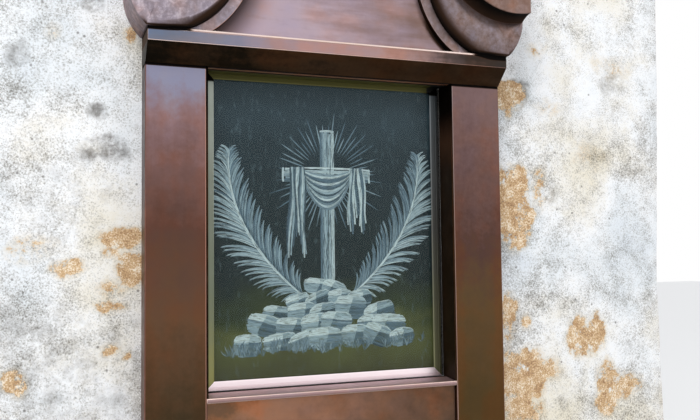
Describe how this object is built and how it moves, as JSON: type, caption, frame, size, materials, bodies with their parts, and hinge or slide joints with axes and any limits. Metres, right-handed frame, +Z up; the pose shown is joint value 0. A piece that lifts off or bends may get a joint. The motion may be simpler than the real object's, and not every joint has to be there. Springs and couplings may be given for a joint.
{
  "type": "wayside shrine",
  "caption": "Free-standing plastered masonry wayside shrine with a framed picture under glass in a copper surround with pilasters, cornice and scrolled pediment.",
  "frame": {"origin": "on the ground, in the middle of the front, in the plane of the masonry's front face", "axes": "+X to the right as the picture is seen, +Y into the masonry, +Z up"},
  "size_m": [3.23, 1.548, 4.4803],
  "materials": {
    "lime_plaster": "weathered lime plaster, off-white with grey and sandy ochre patches",
    "roof_copper": "weathered brown copper sheet",
    "wrought_iron": "blackened wrought iron",
    "copper_sheet": "patinated copper sheet, semi-gloss, streaked red-brown to purple-grey",
    "dark_copper": "dark brown patinated copper sheet",
    "hammered_copper": "hammered copper, mottled grey-brown patina",
    "satin_aluminium": "satin",
    "cover_glass": "clear flat glass",
    "painted_board": "dark painted board with a plain pale emblem"
  },
  "bodies": {
    "root": {"masonry_plinth": "lime_plaster", "masonry_body": "lime_plaster", "eaves_moulding": "lime_plaster", "roof": "roof_copper", "roof_capping": "roof_copper", "ridge_ball": "roof_copper", "roof_cross": "wrought_iron", "left_pilaster": "copper_sheet", "right_pilaster": "copper_sheet", "base_rail": "copper_sheet", "sill": "copper_sheet", "left_reveal": "dark_copper", "right_reveal": "dark_copper", "cornice_bed": "dark_copper", "cornice_fascia": "copper_sheet", "cornice_cover": "copper_sheet", "tympanum": "copper_sheet", "left_strip": "copper_sheet", "right_strip": "copper_sheet", "left_scroll": "hammered_copper", "right_scroll": "hammered_copper", "left_coil": "hammered_copper", "right_coil": "hammered_copper", "left_inner_turn": "hammered_copper", "right_inner_turn": "hammered_copper", "left_eye": "hammered_copper", "right_eye": "hammered_copper", "pediment_cap": "copper_sheet", "crest_panel": "copper_sheet", "crest_rim": "copper_sheet", "trim_top": "satin_aluminium", "trim_bottom": "satin_aluminium", "trim_left": "satin_aluminium", "trim_right": "satin_aluminium", "cover_glass": "cover_glass", "picture_board": "painted_board"}
  },
  "joints": []
}
